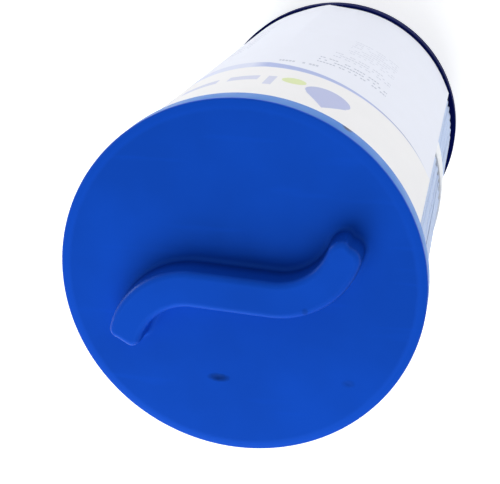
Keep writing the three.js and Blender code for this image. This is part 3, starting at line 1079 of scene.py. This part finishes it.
def print_drop(finish, wraps, across, down, colour):
    """A plain water drop with a small disc beside it."""
    middle, level, radius, point = 72.0, 36.5, 8.5, 17.0
    disc_across, disc_down, disc_radius = middle + 13.5, level + 5.5, 4.4
    x = finish.minus(across, middle)
    y = finish.minus(level, down)
    bowl = finish.maths("LESS_THAN", finish.reach(x, y), radius)
    slope = finish.times(finish.minus(point, y), 0.62)
    tip = finish.both(finish.maths("LESS_THAN", finish.maths("ABSOLUTE", x), slope),
                      finish.window(y, 4.5, point))
    drop = finish.maths("MAXIMUM", bowl, tip)
    colour = finish.mix(drop, colour, wraps.mark)
    away = finish.reach(finish.minus(across, disc_across), finish.minus(down, disc_down))
    return finish.mix(finish.maths("LESS_THAN", away, disc_radius), colour, wraps.accent)


def print_bars(finish, wraps, across, down, colour):
    """Plain blocks where a heading would be, on the head and once more on the far side."""
    for start, width, top, tall in (
        (92, 3, 31, 14), (98, 11, 38, 7), (113, 14, 38, 7), (131, 9, 38, 7),
        (190, 60, 24, 5), (190, 44, 33, 3),
    ):
        block = finish.both(finish.window(across, start, start + width),
                            finish.window(down, top, top + tall))
        colour = finish.mix(finish.times(block, 0.6), colour, wraps.mark)
    return colour


def print_rows(finish, wraps, across, down, colour):
    """Rows of short dashes, as unreadable as small print from a distance."""
    for first, last, top, bottom, pitch, strength in (
        (54, 84, 83, 95, 4.6, 0.75), (54, 80, 101, 113, 3.8, 0.5), (54, 76, 117, 146, 3.8, 0.35),
        (82, 97, 72, 80, 8.0, 0.6), (120, 180, 120, 200, 4.2, 0.5), (200, 260, 150, 215, 4.2, 0.5),
    ):
        row = finish.maths("DIVIDE", finish.minus(down, float(top)), pitch)
        cell = finish.maths("DIVIDE", across, 1.3)
        key = finish.node("ShaderNodeCombineXYZ")
        finish.feed(key.inputs[0], finish.maths("FLOOR", cell))
        finish.feed(key.inputs[1], finish.maths("FLOOR", row))
        chance = finish.node("ShaderNodeTexWhiteNoise", noise_dimensions="2D")
        finish.feed(chance.inputs["Vector"], key.outputs[0])
        inked = finish.maths("GREATER_THAN", chance.outputs["Value"], 0.28)
        stroke = finish.window(finish.maths("FRACT", row), 0.3, 0.62)
        letter = finish.window(finish.maths("FRACT", cell), 0.08, 0.85)
        area = finish.both(finish.window(across, float(first), float(last)),
                           finish.window(down, float(top), float(bottom)))
        ink = finish.times(finish.both(inked, stroke, letter, area), strength)
        colour = finish.mix(ink, colour, wraps.print_colour)
    return colour


# ---- stage ----

EDGE_TINT = (0.35, 0.68, 1.0)


class CARTRIDGE_OT_stage(bpy.types.Operator):
    """Lay the floor and set the light and the camera"""

    bl_idname = "cartridge.stage"
    bl_label = "Stage"

    def execute(self, context):
        stage = context.scene.cartridge_stage
        self.floor(stage)
        self.sky(context.scene, stage)
        key = self.softbox("key", (-0.2, -0.74, 1.25), 1.3, stage.key)
        key.visible_glossy = False
        edge = self.softbox("edge light", (-0.4, -1.1, 0.5), 1.1, stage.edge)
        edge.data.color = EDGE_TINT
        self.softbox("side fill", (-1.25, 0.45, 0.14), 0.2, stage.fill)
        low_fill = self.softbox("low fill", (0.85, 1.47, 0.14), 0.2, stage.low_fill)
        low_fill.visible_glossy = False
        self.camera(context.scene, stage)
        context.scene.view_settings.view_transform = "Standard"
        return {"FINISHED"}

    def floor(self, stage):
        deselect_all()
        bpy.ops.mesh.primitive_circle_add(vertices=96, radius=2.5, fill_type="NGON")
        floor = bpy.context.object
        floor.name = "floor"
        finish = Finish("pale floor", stage.floor_colour, 0.9, 0.1)
        finish.paint(finish.noise(3, 2), 0, 1, stage.floor_colour, tint(stage.floor_colour, 0.97))
        finish.set("Emission Color", (1, 1, 1, 1))
        finish.set("Emission Strength", stage.floor_glow)
        floor.data.materials.append(finish.material)

    def sky(self, scene, stage):
        world = bpy.data.worlds.new("soft sky")
        scene.world = world
        world.use_nodes = True
        background = world.node_tree.nodes["Background"]
        background.inputs["Color"].default_value = (0.93, 0.96, 1.0, 1)
        background.inputs["Strength"].default_value = stage.sky

    def softbox(self, name, place, size, power):
        deselect_all()
        bpy.ops.object.light_add(type="AREA", location=place)
        light = bpy.context.object
        light.name = name
        light.data.shape = "DISK"
        light.data.size = size
        light.data.energy = power
        aim = Vector((0, 0, TOP_FACE)) - Vector(place)
        light.rotation_euler = aim.to_track_quat("-Z", "Y").to_euler()
        return light

    def camera(self, scene, stage):
        deselect_all()
        bpy.ops.object.camera_add()
        camera = bpy.context.object
        camera.name = "camera"
        camera.data.lens = stage.lens
        camera.data.sensor_width = 36
        camera.data.dof.use_dof = False
        camera.data.clip_start = 0.01
        place = Vector((76.36 * MM, 138.06 * MM, TOP_FACE + 343.61 * MM))
        back = Vector((0.19468, 0.33096, 0.92334)).normalized()  # out of the lens, backwards
        right = Vector((0.97849, 0.0, -0.20631)).normalized()  # level across the picture
        turn = Matrix((right, back.cross(right), back)).transposed().to_4x4()
        camera.matrix_world = Matrix.Translation(place) @ turn
        scene.camera = camera


class CARTRIDGE_PT_panel(bpy.types.Panel):
    """Buttons that build the cartridge piece by piece"""

    bl_idname = "CARTRIDGE_PT_panel"
    bl_label = "Filter Cartridge"
    bl_space_type = "VIEW_3D"
    bl_region_type = "UI"
    bl_category = "Cartridge"

    def draw(self, context):
        for operator in OPERATORS:
            self.layout.operator(operator.bl_idname)


SETTINGS = (
    ("cartridge_caps", CartridgeCaps),
    ("cartridge_media", CartridgeMedia),
    ("cartridge_wraps", CartridgeWraps),
    ("cartridge_fitting", CartridgeFitting),
    ("cartridge_stage", CartridgeStage),
)

OPERATORS = (
    CARTRIDGE_OT_stage,
    CARTRIDGE_OT_top_cap,
    CARTRIDGE_OT_bottom_cap,
    CARTRIDGE_OT_fitting,
    CARTRIDGE_OT_core,
    CARTRIDGE_OT_media,
    CARTRIDGE_OT_side_seam,
    CARTRIDGE_OT_band,
    CARTRIDGE_OT_label,
)


def register():
    for name, group in SETTINGS:
        bpy.utils.register_class(group)
        setattr(bpy.types.Scene, name, PointerProperty(type=group))
    for operator in OPERATORS:
        bpy.utils.register_class(operator)
    bpy.utils.register_class(CARTRIDGE_PT_panel)


def unregister():
    bpy.utils.unregister_class(CARTRIDGE_PT_panel)
    for operator in reversed(OPERATORS):
        bpy.utils.unregister_class(operator)
    for name, group in reversed(SETTINGS):
        delattr(bpy.types.Scene, name)
        bpy.utils.unregister_class(group)


def main():
    register()
    bpy.ops.cartridge.stage()
    bpy.ops.cartridge.top_cap()
    bpy.ops.cartridge.bottom_cap()
    bpy.ops.cartridge.fitting()
    bpy.ops.cartridge.core()
    bpy.ops.cartridge.media()
    bpy.ops.cartridge.side_seam()
    bpy.ops.cartridge.band()
    bpy.ops.cartridge.label()


if __name__ == "__main__":
    main()
